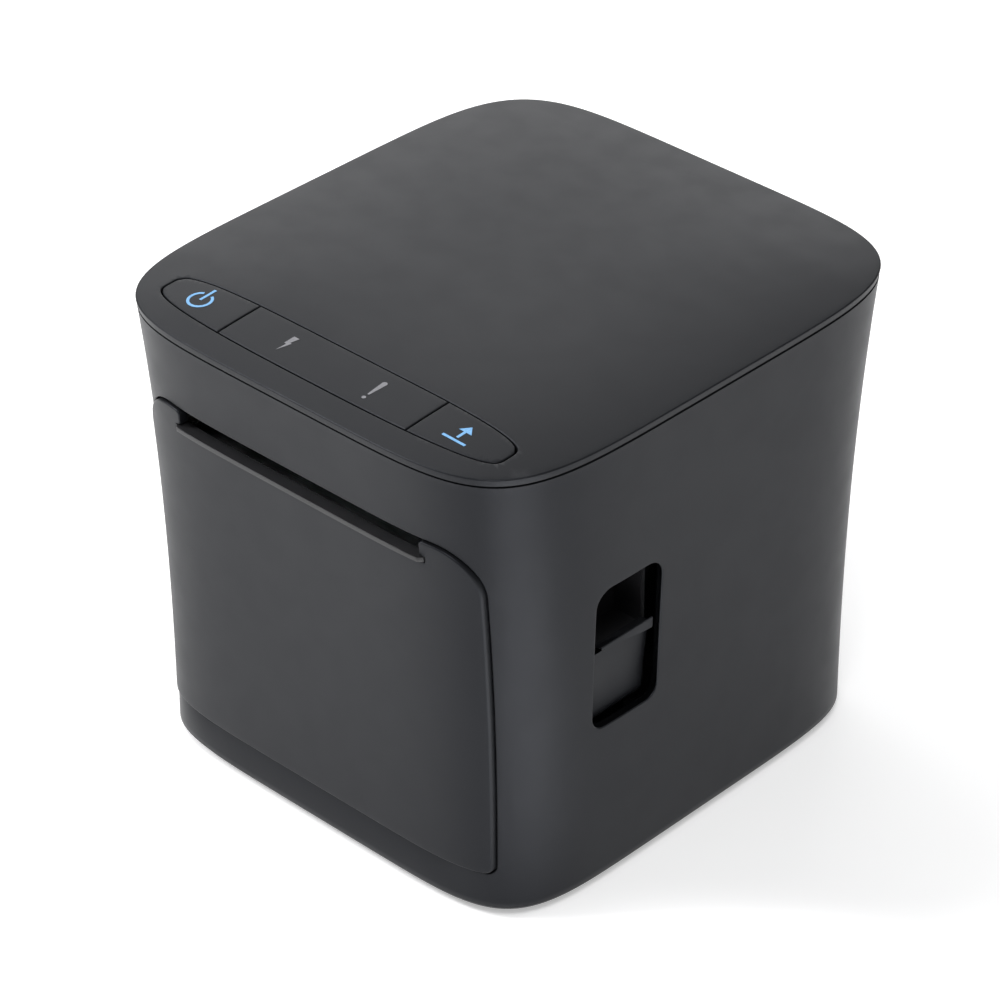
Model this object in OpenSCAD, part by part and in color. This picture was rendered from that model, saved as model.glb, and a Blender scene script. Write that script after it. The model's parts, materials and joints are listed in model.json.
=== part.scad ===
// Front-exit thermal receipt printer for 80 mm paper rolls.
// A flared cube-shaped case with a clamshell front door, a sliding release
// lever in the right side and a row of keys in the top cover.
// Units are millimetres, +Z is up, the door faces -Y, and z = 0 is the
// underside of the rubber feet, in the middle of the footprint.

/* [Case] */

// Width of the case across its top edge
top_w = 140; // [120:1:160]
// Depth of the case across its top edge
top_d = 154.7; // [130:0.1:180]
// Width of the case at its foot
base_w = 133.1; // [115:0.1:155]
// Depth of the case at its foot
base_d = 139.7; // [120:0.1:170]
// Height from the foot of the case to the top edge of the cover
case_h = 130.7; // [100:0.1:160]
// Rise of the cover's crown above its edge
crown = 2.8; // [0:0.1:6]
// How far the feet hold the case off the counter
foot_h = 1.5; // [0.5:0.1:5]
// How late the flare starts: 1 is a straight taper
flare_power = 2.33; // [1:0.01:4]
// Squareness of the plan at the foot
base_square = 6.33; // [2:0.01:10]
// Squareness of the plan at the top
top_square = 5.46; // [2:0.01:10]
// Wall thickness of the case
wall = 2.5; // [1.5:0.1:4]
// How far the sill under the door is set back
sill_setback = 1.6; // [0:0.1:3]

/* [Door] */

// Width of the front door
door_w = 113; // [90:1:120]
// Height of the door's lower edge above the counter
door_z0 = 13.5; // [8:0.1:30]
// Height of the door's upper edge above the counter
door_z1 = 109; // [90:0.1:120]
// Radius of the door's upper corners
door_top_r = 12; // [2:0.1:20]
// Radius of the door's lower corners
door_foot_r = 2; // [0.5:0.1:10]
// How far the door stands proud of the case
door_proud = 0.7; // [0:0.1:2]
// Gap all round the door
door_gap = 0.5; // [0.3:0.05:1.5]
// Depth position of the door's hinge axis
hinge_y = -64.2; // [-75:0.5:-50]
// Height of the door's hinge axis
hinge_z = 22; // [10:0.5:30]

/* [Paper path] */

// Width of the paper exit
exit_w = 81.5; // [58:0.5:90]
// Height of the lip under the paper exit
exit_z = 104.6; // [98:0.1:106]
// Radius of the paper cradle
bucket_r = 41; // [30:0.5:45]
// Depth position of the paper roll's axis
roll_y = 3; // [-10:1:15]
// Height of the paper roll's axis
roll_z = 52; // [40:1:70]
// Depth position of the platen's axis
platen_y = -60; // [-66:0.5:-50]
// Height of the platen's axis
platen_z = 92; // [80:0.5:100]
// Radius of the rubber platen
platen_r = 6; // [4:0.5:9]

/* [Release lever] */

// Front edge of the finger window
window_y0 = -41.2; // [-55:0.1:-30]
// Rear edge of the finger window
window_y1 = -18.4; // [-28:0.1:0]
// Lower edge of the finger window
window_z0 = 48.3; // [30:0.1:60]
// Upper edge of the finger window
window_z1 = 89.5; // [70:0.5:100]
// Height of the top of the lever's ledge
ledge_z = 72; // [60:0.5:85]

/* [Keys] */

// Half length of the key strip
strip_half = 57.2; // [40:0.1:62]
// Half depth of the key strip
strip_deep = 7.8; // [5:0.1:12]
// Depth position of the middle of the key strip
strip_y = -61.8; // [-68:0.1:-50]
// Distance from the middle to the gap beside each key
key_split = 31.7; // [20:0.1:45]
// Gap round the keys
key_gap = 0.4; // [0.3:0.05:1]

/* [Drive] */

// Tooth size of the gear train
gear_module = 0.8; // [0.4:0.1:1.5]
// Teeth on the platen gear
platen_teeth = 18; // [12:1:30]
// Teeth on the idler gear
idler_teeth = 20; // [12:1:30]
// Teeth on the motor pinion
pinion_teeth = 10; // [8:1:20]

/* [Hidden] */

edge_z = foot_h + case_h;
rim_h = 2;
seam = 0.5;
cover_z = edge_z - rim_h;
case_z1 = cover_z - seam;
steps = 64;
fit = 0.05;
clear = 0.3;
bolt_r = 1.25;
plate_t = 2;
floor_z = foot_h + 0.2 + plate_t;
frame_x = 44;
frame_t = 1.5;
boss_x = 56;
boss_y = 54;
lever_x = 63.2;
lever_t = 1.8;
lever_y0 = window_y0 - 0.8;
lever_y1 = window_y1 + 0.3;
pocket_x = 51;
knuckle_x = 37.5;
sweep_r = norm([base_d / 2 + door_proud + 0.2 + hinge_y, hinge_z - door_z0]) + clear;
hook_x = 46.75;
hook_t = 0.9;
latch_y = -45;
latch_z = 76;
crank_y = 27;
crank_z = -16;
power_x = -45.3;
feed_x = 43;
status_x = 15;
mark_w = 0.75;
key_z = 129;
well_z = 125;
board_z = 121;
idler_y = platen_y + gear_module * (platen_teeth + idler_teeth) / 2 + 0.1;
pinion_y = idler_y + gear_module * (idler_teeth + pinion_teeth) / 2 + 0.1;
gear_x = 47.5;
gear_w = 5;
head_y = platen_y + platen_r + 0.2;
head_pivot_y = -47.5;
head_pivot_z = 83;
cut_z = exit_z - 2.6;
blade_z = cut_z + 0.3;
cut_pinion_x = 25;
cut_pinion_y = -31;
cut_pinion_r = 5;
board_y = 47.4;
port_z = 26;
panel_y = 64.8;
case_black = [0.13, 0.13, 0.14];
trim_black = [0.07, 0.07, 0.08];
steel = [0.66, 0.67, 0.69];
board_green = [0.05, 0.3, 0.16];
rubber = [0.05, 0.05, 0.05];
symbol_blue = [0.45, 0.7, 0.92];
symbol_grey = [0.6, 0.6, 0.62];

// ---------- outline of the case ----------

function flare(z) = pow(max(0, min(1, (z - foot_h) / case_h)), flare_power);
function half_w(z) = base_w / 2 + (top_w - base_w) / 2 * flare(z);
function half_d(z) = base_d / 2 + (top_d - base_d) / 2 * flare(z);
function square_at(z) = base_square + (top_square - base_square) * (z - foot_h) / case_h;
function signed_pow(v, e) = sign(v) * pow(abs(v), e);
function ramp(v, from, to) = max(0, min(1, (v - from) / (to - from)));
function setback_at(x, z) = sill_setback * pow(ramp(z, foot_h, door_z0 - door_gap), 2)
  * ramp(z, door_z0 + 8, door_z0) * ramp(abs(x), door_w / 2, door_w / 2 - 18);

// One level of the case, drawn inwards by inset; back is 1 where the sill is set back.
function ring(z, inset = 0, back = 0) = [for (i = [0:steps - 1])
  let (a = i * 360 / steps, e = 2 / square_at(z),
       x = (half_w(z) - inset) * signed_pow(cos(a), e),
       y = (half_d(z) - inset) * signed_pow(sin(a), e))
  [x, y < 0 ? y + back * setback_at(x, z) : y, z]];

// One ring of the crowned cover at fraction s of its outline, lowered by drop.
function crown_ring(s, drop, inset) = [for (p = ring(edge_z, inset))
  [p[0] * s, p[1] * s, edge_z - drop + crown * (1 - (s <= 0.3 ? 0 : pow(s, 3)))]];

// The solid through a stack of rings, lowest first.
module loft(rings) {
  n = len(rings[0]);
  m = len(rings);
  sides = [for (k = [0:m - 2], i = [0:n - 1])
    let (j = (i + 1) % n, a = k * n + i, b = k * n + j, c = a + n, d = b + n)
    each [[a, c, d], [a, d, b]]];
  foot = [for (i = [0:n - 1]) i];
  head = [for (i = [n - 1:-1:0]) (m - 1) * n + i];
  polyhedron(points = [for (r = rings) each r], faces = concat([foot], sides, [head]));
}

module case_solid(inset, z0, z1, count, back = 0) {
  loft([for (k = [0:count]) ring(z0 + (z1 - z0) * k / count, inset, back)]);
}

module crown_solid(inset, drop, z0) {
  loft(concat([[for (p = ring(edge_z, inset)) [p[0], p[1], z0]]],
    [for (s = [1, 0.92, 0.84, 0.74, 0.62, 0.48, 0.3]) crown_ring(s, drop, inset)]));
}

// ---------- small shared shapes ----------

// A box from its low corner to its high corner.
module span(low, high) {
  translate(low) cube([high[0] - low[0], high[1] - low[1], high[2] - low[2]]);
}

module rod_x(x0, x1, y, z, r) {
  translate([x0, y, z]) rotate([0, 90, 0]) cylinder(h = x1 - x0, r = r, $fn = 48);
}

module rod_y(y0, y1, x, z, r) {
  translate([x, y0, z]) rotate([-90, 0, 0]) cylinder(h = y1 - y0, r = r, $fn = 48);
}

module rod_z(z0, z1, x, y, r) {
  translate([x, y, z0]) cylinder(h = z1 - z0, r = r, $fn = 48);
}

// A plate in the YZ plane from x0 to x1, drawn as [y, z] points.
module side_plate(x0, x1, outline) {
  translate([x0, 0, 0]) rotate([90, 0, 90]) linear_extrude(height = x1 - x0) polygon(outline);
}

// A rectangle with a rounded corner at each end of each side.
module rounded(x0, x1, y0, y1, r_low, r_high) {
  polygon([for (c = [[x0, y0, 180, r_low], [x1, y0, 270, r_low], [x1, y1, 0, r_high],
      [x0, y1, 90, r_high]], k = [0:8])
    let (cx = c[0] + (c[0] == x0 ? c[3] : -c[3]), cy = c[1] + (c[1] == y0 ? c[3] : -c[3]),
         a = c[2] + k * 90 / 8)
    [cx + c[3] * cos(a), cy + c[3] * sin(a)]]);
}

// A spur gear along X, starting at x0, with flat-topped teeth.
module gear_x_axis(teeth, x0, width, y, z, bore) {
  tip_r = gear_module * teeth / 2;
  root_r = tip_r - 1.5 * gear_module;
  pitch = 360 / teeth;
  tooth = [[0, root_r], [0.32, tip_r], [0.58, tip_r], [0.9, root_r]];
  translate([x0, y, z]) rotate([90, 0, 90]) linear_extrude(height = width)
    difference() {
      polygon([for (k = [0:teeth - 1], p = tooth) let (a = (k + p[0]) * pitch)
        [p[1] * cos(a), p[1] * sin(a)]]);
      circle(r = bore, $fn = 48);
    }
}

// A coil spring standing on z = 0.
module coil(radius, wire, height, turns) {
  per_turn = 12;
  sides = 6;
  count = per_turn * turns;
  rise = height - 2 * wire;
  loft_rings = [for (k = [0:count]) let (a = k * 360 / per_turn) [for (i = [0:sides - 1])
    let (b = -i * 360 / sides, rr = radius + wire * cos(b))
    [rr * cos(a), rr * sin(a), wire + rise * k / count + wire * sin(b)]]];
  loft(loft_rings);
}

// The key strip in plan: squarer at the back than at the front.
module strip_plan(grow = 0) {
  polygon([for (i = [0:95]) let (a = i * 3.75, e = 2 / (sin(a) > 0 ? 5 : 3))
    [(strip_half + grow) * signed_pow(cos(a), e),
     strip_y + (strip_deep + grow) * signed_pow(sin(a), e)]]);
}

// Height of the crowned cover over a point of the plan.
function crown_at(x, y) = edge_z + crown * (1 - pow(crown_s(x, y), 3));
function crown_s(x, y) = let (n = square_at(edge_z))
  pow(pow(abs(x) / half_w(edge_z), n) + pow(abs(y) / half_d(edge_z), n), 1 / n);

// Puts a flat thing on the cover at x, y, tilted with the surface.
module on_crown(x, y) {
  slope_x = crown_at(x + 0.5, y) - crown_at(x - 0.5, y);
  slope_y = crown_at(x, y + 0.5) - crown_at(x, y - 0.5);
  translate([x, y, crown_at(x, y)]) rotate([atan(slope_y), -atan(slope_x), 0]) children();
}

// ---------- case ----------

module housing_shell() {
  sill_z = door_z0 - door_gap;
  levels = concat([foot_h, 5, 8, 10.5], [for (k = [0:12]) sill_z + (case_z1 - sill_z) * k / 12]);
  color(case_black) difference() {
    union() {
      difference() {
        loft([for (z = levels) ring(z, 0, 1)]);
        case_solid(wall, foot_h - 1, case_z1 + 1, 8);
        door_opening();
        rod_x(-door_w / 2 - door_gap, door_w / 2 + door_gap, hinge_y, hinge_z, sweep_r);
        window();
        span([-46, 55, 14], [46, 80, 40]);
      }
      for (sx = [-1, 1], sy = [-1, 1]) rod_z(floor_z + clear, 13, sx * boss_x, sy * boss_y, 3.6);
      for (s = [-1, 1]) span([s * 59 - 3.5, boss_y - 1, floor_z + clear], [s * 59 + 3.5, boss_y + 1, 12]);
      for (s = [-1, 1]) hinge_lug(s * knuckle_x);
      for (s = [-1, 1]) span([s * 49 - 12.5, -56, floor_z + clear], [s * 49 + 12.5, -52.3, 9]);
    }
    for (sx = [-1, 1], sy = [-1, 1]) rod_z(floor_z, 12, sx * boss_x, sy * boss_y, bolt_r);
  }
}

// The hole in the front that the door closes.
module door_opening() {
  w = door_w / 2 + door_gap;
  translate([0, -40, 0]) rotate([90, 0, 0]) linear_extrude(height = 50)
    rounded(-w, w, door_z0 - door_gap, door_z1 + door_gap, door_foot_r + door_gap,
      door_top_r + door_gap);
}

// The finger window in the right side.
module window() {
  translate([60, 0, 0]) rotate([90, 0, 90]) linear_extrude(height = 20)
    rounded(window_y0, window_y1, window_z0, window_z1, 4, 5);
}

// One fixed knuckle of the door hinge, reaching forward from a post.
module hinge_lug(x) {
  post_y = hinge_y + sweep_r - 1.4;
  difference() {
    union() {
      rod_x(x - 1.5, x + 1.5, hinge_y, hinge_z, 2.2);
      side_plate(x - 1.5, x + 1.5, [[hinge_y, hinge_z - 2.2], [post_y, hinge_z - 2.2],
        [post_y, floor_z + clear], [post_y + 5, floor_z + clear],
        [post_y + 5, hinge_z + 2.2], [hinge_y, hinge_z + 2.2]]);
    }
    rod_x(x - 2, x + 2, hinge_y, hinge_z, 1);
  }
}

module top_cover() {
  color(case_black) difference() {
    union() {
      difference() {
        crown_solid(0, 0, cover_z);
        crown_solid(4.4, 2, cover_z - 1);
      }
      difference() {
        case_solid(wall + 0.4, cover_z - 4, cover_z + 0.5, 1);
        case_solid(wall + 1.9, cover_z - 5, cover_z + 1, 1);
      }
    }
    translate([0, 0, cover_z - 5]) linear_extrude(height = 12) strip_plan();
    translate([0, 0, cover_z - 5]) linear_extrude(height = 5) strip_plan(1.8);
  }
}

module base_plate() {
  color(case_black) difference() {
    case_solid(wall + clear, foot_h + 0.2, floor_z, 1);
    for (sx = [-1, 1], sy = [-1, 1]) rod_z(0, 9, sx * boss_x, sy * boss_y, bolt_r + 0.1);
    for (sx = [-1, 1], sy = [-1, 1]) rod_z(foot_h, foot_h + 1.2, sx * 47, sy * 52, 5.1);
  }
}

// Feet pressed into round seats near the corners.
module rubber_feet() {
  color(rubber) for (sx = [-1, 1], sy = [-1, 1]) rod_z(0, foot_h + 1.2, sx * 47, sy * 52, 5);
}

module base_screws() {
  color(steel) for (sx = [-1, 1], sy = [-1, 1]) {
    rod_z(foot_h + 0.2, 10, sx * boss_x, sy * boss_y, bolt_r);
    rod_z(foot_h - 0.9, foot_h + 0.2, sx * boss_x, sy * boss_y, 2.4);
  }
}

// ---------- connections at the back ----------

module rear_panel() {
  color(trim_black) difference() {
    intersection() {
      span([-48, panel_y - 1.5, 12.2], [48, 69, 41.8]);
      case_solid(wall + clear, 12, 42, 2);
    }
    span([-46, panel_y, 14], [46, 70, 40]);
    for (p = [[-35, 9.6, 11.6], [-13, 11.2, 11.2], [9, 16.6, 14.2], [33, 13.2, 12]])
      span([p[0] - p[1] / 2, 60, port_z - p[2] / 2], [p[0] + p[1] / 2, 70, port_z + p[2] / 2]);
  }
}

// A socket body standing off the board, with its mouth at the back.
module port(x, w, h, mouth_w, mouth_h, deep) {
  difference() {
    span([x - w / 2, board_y + 1.6, port_z - h / 2], [x + w / 2, panel_y + 0.6, port_z + h / 2]);
    span([x - mouth_w / 2, panel_y + 0.6 - deep, port_z - mouth_h / 2],
      [x + mouth_w / 2, panel_y + 2, port_z + mouth_h / 2]);
  }
}

module power_inlet() {
  color(trim_black) difference() {
    span([-39.5, board_y + 1.6, port_z - 5.5], [-30.5, panel_y + 0.6, port_z + 5.5]);
    rod_y(panel_y - 9, panel_y + 2, -35, port_z, 3.6);
  }
  color(steel) rod_y(panel_y - 9, panel_y - 4.6, -35, port_z, 1);
}

module drawer_port() {
  color(trim_black) port(-13, 10.6, 10.6, 7.6, 6.8, 11);
}

module network_port() {
  color(steel) port(9, 16, 13.6, 11.8, 8.4, 12);
}

module usb_port() {
  color(steel) port(33, 12.6, 11.4, 8.6, 8, 10);
}

module main_board() {
  color(board_green) difference() {
    span([-44, board_y, 8], [44, board_y + 1.6, 96]);
    for (sx = [-1, 1], z = [18, 88]) rod_y(40, 60, sx * 41, z, 1.3);
  }
  color(trim_black) {
    span([-12, board_y + 1.6, 52], [4, board_y + 3.2, 68]);
    span([14, board_y + 1.6, 56], [24, board_y + 2.8, 66]);
    rod_y(board_y + 1.6, board_y + 11, -30, 50, 5);
    rod_y(board_y + 1.6, board_y + 11, -30, 64, 5);
    span([-20, board_y + 1.6, 86], [20, board_y + 5, 91]);
  }
}

module board_screws() {
  color(steel) for (sx = [-1, 1], z = [18, 88]) {
    rod_y(board_y - 1.5, board_y + 1.6, sx * 41, z, 1.25);
    rod_y(board_y + 1.6, board_y + 3, sx * 41, z, 2.3);
  }
}

// ---------- paper cradle and frames ----------

module paper_bucket() {
  r = bucket_r + 1.5;
  color(case_black) difference() {
    union() {
      rod_x(-42.5, 42.5, roll_y, roll_z, r);
      for (x = [-32, 29]) span([x, -12, floor_z], [x + 3, 18, 14]);
    }
    rod_x(-41, 41, roll_y, roll_z, bucket_r);
    side_plate(-50, 50, [[-60, 26], [-20, 26], [-20, 80], [14, 100], [-60, 100]]);
    rod_z(5, 14, 0, roll_y, 3);
  }
}

// Low-paper sensor looking up through the floor of the cradle.
module paper_sensor() {
  color(trim_black) {
    rod_z(7.4, 10.6, 0, roll_y, 2.6);
    span([-8, roll_y - 5, floor_z], [8, roll_y + 5, 7.4]);
  }
}

// One side frame of the print mechanism; out is the outward side of the plate.
module side_frame(out) {
  x0 = out > 0 ? frame_x : -frame_x - frame_t;
  x1 = x0 + frame_t;
  tab = [for (x = [out * (frame_x + frame_t), out * (frame_x - 6)]) x];
  difference() {
    union() {
      side_plate(x0, x1, [[-52, floor_z], [board_y - 1.5, floor_z], [board_y - 1.5, 98],
        [-8, 105], [-54, 105], [-54, 99], [-62, 99], [-62, 85], [-52, 80]]);
      span([out > 0 ? x1 : x0 - 5, -30, floor_z], [out > 0 ? x1 + 5 : x0, 30, floor_z + 1.5]);
      for (z = [14, 84]) span([min(tab), board_y - 1.5, z], [max(tab), board_y, z + 8]);
    }
    side_plate(x0 - 1, x1 + 1, [[-63, platen_z - 4.8], [platen_y, platen_z - 4.8],
      [platen_y + 4.9, platen_z - 3], [platen_y + 4.9, platen_z + 4],
      [platen_y, platen_z + 5.6], [-63, platen_z + 5.6]]);
    rod_x(x0 - 1, x1 + 1, latch_y, latch_z, 2.55);
    rod_x(x0 - 1, x1 + 1, head_pivot_y, head_pivot_z, 1.5);
    rod_x(x0 - 1, x1 + 1, roll_y, roll_z, 26);
    for (z = [18, 88]) rod_y(40, 60, out * 41, z, 1.25);
  }
}

module frame_left() {
  color(steel) difference() {
    side_frame(-1);
    rod_x(-50, -40, idler_y, platen_z, 2);
    for (a = [45, 225]) rod_x(-50, -40, pinion_y + 17 * cos(a), platen_z + 17 * sin(a), 1.5);
  }
}

module frame_right() {
  color(steel) side_frame(1);
}

// Cross bar behind the print head, with a seat for each head spring.
module frame_tie() {
  color(steel) {
    span([-frame_x, -41.5, 90], [frame_x, -40, 100]);
    for (s = [-1, 1]) rod_y(-43.5, -41.5, s * 20, 96, 1.4);
  }
}

// Switch that a rib of the door closes, held clear of the latch hook.
module cover_switch() {
  x0 = hook_x + hook_t / 2 + 0.4;
  color(trim_black) {
    span([x0, -50, 88], [x0 + 3, -42, 100]);
    span([frame_x + frame_t, -44.2, 89], [x0, -42, 99]);
  }
  color(steel) span([x0 + 0.7, -53, 97], [x0 + 2.3, -50, 97.4]);
}

// ---------- print head ----------

module head_element() {
  color([0.85, 0.84, 0.8]) span([-41, head_y, 84], [41, head_y + 1, 100]);
}

module head_heatsink() {
  y0 = head_y + 1;
  color(steel) difference() {
    union() {
      span([-41.5, y0, 82], [41.5, y0 + 3, 101]);
      for (s = [-1, 1]) rod_x(s * 40 - 1.5, s * 40 + 1.5, head_pivot_y, head_pivot_z, 3.2);
    }
    rod_x(-50, 50, head_pivot_y, head_pivot_z, 1.53);
    for (k = [-5:5]) if (abs(k) != 3)
      span([k * 6.8 - 1.6, y0 + 1.5, 86], [k * 6.8 + 1.6, y0 + 4, 102]);
  }
}

module head_pivot() {
  color(steel) rod_x(-frame_x - frame_t, frame_x + frame_t, head_pivot_y, head_pivot_z, 1.5);
}

module head_spring() {
  color(steel) for (s = [-1, 1])
    translate([s * 20, -41.5, 96]) rotate([90, 0, 0]) coil(2.2, 0.35, 6.6, 4);
}

// ---------- feed drive ----------

// Motor body on a plate that two posts hold off the left frame.
module feed_motor() {
  post_r = 15.5;
  color(trim_black) difference() {
    rod_x(-62.5, -54.5, pinion_y, platen_z, 12);
    rod_x(-56.5, -54, pinion_y, platen_z, 1 + fit);
  }
  color(steel) {
    difference() {
      side_plate(-54.5, -53.5, [for (a = [45:90:315]) let (r = a % 180 == 45 ? 13 : 19.5)
        [pinion_y + r * cos(a), platen_z + r * sin(a)]]);
      rod_x(-56, -50, pinion_y, platen_z, 1 + fit);
    }
    for (a = [135, 315])
      rod_x(-53.5, -frame_x - frame_t, pinion_y + post_r * cos(a), platen_z + post_r * sin(a), 1.5);
  }
}

module motor_pinion() {
  color(steel) gear_x_axis(pinion_teeth, -gear_x - gear_w, gear_w, pinion_y, platen_z, 1);
  color(steel) rod_x(-56, -gear_x, pinion_y, platen_z, 1);
}

module idler_gear() {
  color([0.85, 0.85, 0.82])
    gear_x_axis(idler_teeth, -gear_x - gear_w, gear_w, idler_y, platen_z, 2.05);
}

module idler_axle() {
  color(steel) {
    rod_x(-52.8, -frame_x, idler_y, platen_z, 2);
    rod_x(-53.3, -52.8, idler_y, platen_z, 2.8);
  }
}

module platen_shaft() {
  color(steel) rod_x(-53, 48, platen_y, platen_z, 3);
}

module platen_rubber() {
  color(rubber) difference() {
    rod_x(-40.5, 40.5, platen_y, platen_z, platen_r);
    rod_x(-42, 42, platen_y, platen_z, 3);
  }
}

module platen_gear() {
  color([0.85, 0.85, 0.82])
    gear_x_axis(platen_teeth, -gear_x - gear_w, gear_w, platen_y, platen_z, 3);
}

// Bushes that carry the platen and drop into the side frames.
module platen_bushes() {
  color([0.9, 0.88, 0.8]) for (s = [-1, 1]) difference() {
    rod_x(s * 44 - 2, s * 44 + 2, platen_y, platen_z, 4.5);
    rod_x(s * 44 - 3, s * 44 + 3, platen_y, platen_z, 3 + fit);
  }
}

// ---------- cutter ----------

module cutter_frame() {
  color(steel) difference() {
    union() {
      span([-frame_x - frame_t, -54, 105], [frame_x + frame_t, -14, 106.2]);
      span([-frame_x, -54, 106], [frame_x, -53, 113]);
      for (s = [-1, 1]) span([s * 43.4 - 0.5, -51, 101.2], [s * 43.4 + 0.5, -20, 105]);
    }
    rod_z(104, 108, cut_pinion_x, cut_pinion_y, 6);
  }
}

// Moving blade: a wide edge with a tail that carries the rack.
module cutter_blade() {
  rack_x = cut_pinion_x - cut_pinion_r - 0.1;
  color(steel) {
    span([-42.6, -52.5, blade_z], [42.6, -45, blade_z + 1]);
    translate([0, 0, blade_z]) linear_extrude(height = 1)
      polygon(concat([[10, -18], [10, -45.1], [rack_x - 1.2, -45.1]],
        [for (k = [0:11], q = [0.6, 0.9, 1.6, 1.9])
          [rack_x - (q == 0.9 || q == 1.6 ? 0 : 1.2), -45.1 + 2.1 * k + q]],
        [[rack_x - 1.2, -18]]));
  }
}

module cutter_pinion() {
  color(steel) {
    translate([0, 0, blade_z]) linear_extrude(height = 1.2)
      polygon([for (k = [0:14], q = [0, 0.3, 0.6, 0.9]) let (a = (k + q) * 24,
        r = cut_pinion_r - (q == 0.3 || q == 0.6 ? 0 : 1.2))
        [cut_pinion_x + r * cos(a), cut_pinion_y + r * sin(a)]]);
    rod_z(blade_z + 1.2, 107.6, cut_pinion_x, cut_pinion_y, 1.2);
  }
}

module cutter_motor() {
  color(trim_black) difference() {
    rod_z(106.2, 119, cut_pinion_x, cut_pinion_y, 9);
    rod_z(105, 107.8, cut_pinion_x, cut_pinion_y, 2);
  }
}

// ---------- latch and release lever ----------

module latch_shaft() {
  color(steel) rod_x(-47.2, 50.4, latch_y, latch_z, 2.5);
}

// A hook over each end of the platen shaft, and the crank the lever pushes.
module latch_hooks() {
  color(steel) difference() {
    union() {
      for (s = [-1, 1]) {
        x = s * hook_x;
        rod_x(x - hook_t / 2, x + hook_t / 2, latch_y, latch_z, 4.5);
        side_plate(x - hook_t / 2, x + hook_t / 2, [[latch_y - 4.4, latch_z - 1],
          [latch_y + 3, latch_z + 3.4], [-50.2, 90], [-50.2, 99.2], [-62.5, 99.2],
          [-62.5, platen_z + 3.8], [-54.5, platen_z + 3.8], [-54.5, 88]]);
      }
      rod_x(47.9, 50.4, latch_y, latch_z, 4.5);
      rod_x(47.9, 50.4, latch_y + crank_y, latch_z + crank_z, 2);
      side_plate(47.9, 50.4, [[latch_y - 1, latch_z - 1.7], [latch_y + crank_y - 1,
        latch_z + crank_z - 1.7], [latch_y + crank_y - 1.5, latch_z + crank_z + 0.8],
        [latch_y + 2, latch_z + 1]]);
    }
    rod_x(-60, 60, latch_y, latch_z, 2.5);
  }
}

module release_lever() {
  x0 = lever_x - lever_t;
  push_z = latch_z + crank_z + 2.5;
  color(case_black) {
    span([x0, lever_y0, window_z0 - 0.2], [lever_x, lever_y1, ledge_z]);
    span([lever_x, -38, ledge_z - 3], [66.4, -19.6, ledge_z]);
    span([47.9, -21, push_z], [x0, lever_y1, push_z + 3]);
    span([55, -41, 50], [x0, -35, 51.5]);
  }
}

module lever_spring() {
  color(steel) translate([58.2, -38, 31.2]) coil(2.3, 0.35, 18.8, 8);
}

// Fixed liner behind the finger window, with the seat of the lever's spring.
module finger_pocket() {
  rim_x = lever_x - lever_t - 0.3;
  color(trim_black) {
    difference() {
      span([pocket_x, -43.4, 66], [rim_x, -17.2, 93.5]);
      span([pocket_x + 1.2, -42.2, 67.2], [rim_x + 1, -18.4, 92.3]);
    }
    span([pocket_x + 1.2, -42.2, 78], [57, -31, 92.3]);
    difference() {
      span([pocket_x, -43.4, 30], [pocket_x + 1.2, -14, 66]);
      span([pocket_x - 1, -24, 56], [pocket_x + 2, -15.6, 67]);
    }
    span([pocket_x + 1.2, -43.4, 30], [rim_x, -31, 31.2]);
    rod_z(31.2, 35, 58.2, -38, 1.7);
  }
}

// ---------- keys ----------

// Tray under the keys, with two pins that hold the control board.
module key_well() {
  color(trim_black) difference() {
    union() {
      translate([0, 0, well_z]) linear_extrude(height = cover_z - 0.1 - well_z) strip_plan(1.5);
      for (s = [-1, 1]) rod_z(board_z, well_z, s * 25, strip_y, 1.25);
    }
    translate([0, 0, well_z + 1]) linear_extrude(height = 10) strip_plan(0.3);
    for (x = [power_x, feed_x]) rod_z(well_z - 1, well_z + 2, x, strip_y, 2.4);
    for (s = [-1, 1]) rod_z(well_z - 1, well_z + 2, s * status_x, strip_y, 1.8);
  }
}

// A part of the strip between x0 and x1, topped by the crown.
module key_blank(x0, x1) {
  intersection() {
    crown_solid(0, 0, key_z);
    translate([0, 0, key_z - 1]) linear_extrude(height = 9) intersection() {
      strip_plan(-key_gap);
      translate([x0, strip_y - 20]) square([x1 - x0, 40]);
    }
  }
}

// A mark set into the middle of the strip at x, a hair proud of the keys.
module inlay(x) {
  on_crown(x, strip_y) translate([0, 0, -0.2]) linear_extrude(height = 0.25) children();
}

// The recess that an inlay sits in.
module recess(x) {
  on_crown(x, strip_y) translate([0, 0, -0.22]) linear_extrude(height = 2)
    offset(delta = 0.02) children();
}

// A broken ring with a bar through the gap.
module power_mark() {
  difference() {
    circle(r = 3.4, $fn = 48);
    circle(r = 2.65, $fn = 48);
    polygon([[0, 0], [-2, 4], [2, 4]]);
  }
  translate([-mark_w / 2, 0]) square([mark_w, 5.3]);
}

// A sheet leaving a slot, drawn as an arrow over a bar.
module feed_mark() {
  translate([-3.6, -3]) square([7.2, mark_w]);
  translate([-mark_w / 2, -1.5]) square([mark_w, 3.2]);
  polygon([[-2, 1.2], [2, 1.2], [0, 3.6]]);
}

module bolt_mark() {
  polygon([[-0.75, 3.25], [1.05, 3.25], [0.4, 0.75], [1, 0.65], [-0.3, -3.5], [-0.1, -0.15],
    [-0.8, -0.1]]);
}

module alert_mark() {
  hull() {
    translate([0, 2.9]) circle(r = 0.75, $fn = 32);
    translate([0, -2.3]) circle(r = 0.3, $fn = 32);
  }
  translate([0, -4]) circle(r = 0.55, $fn = 32);
}

module power_key() {
  color(case_black) {
    difference() {
      key_blank(-70, -key_split - key_gap / 2);
      recess(power_x) power_mark();
    }
    rod_z(well_z + 0.2, key_z, power_x, strip_y, 1.8);
  }
}

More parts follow.
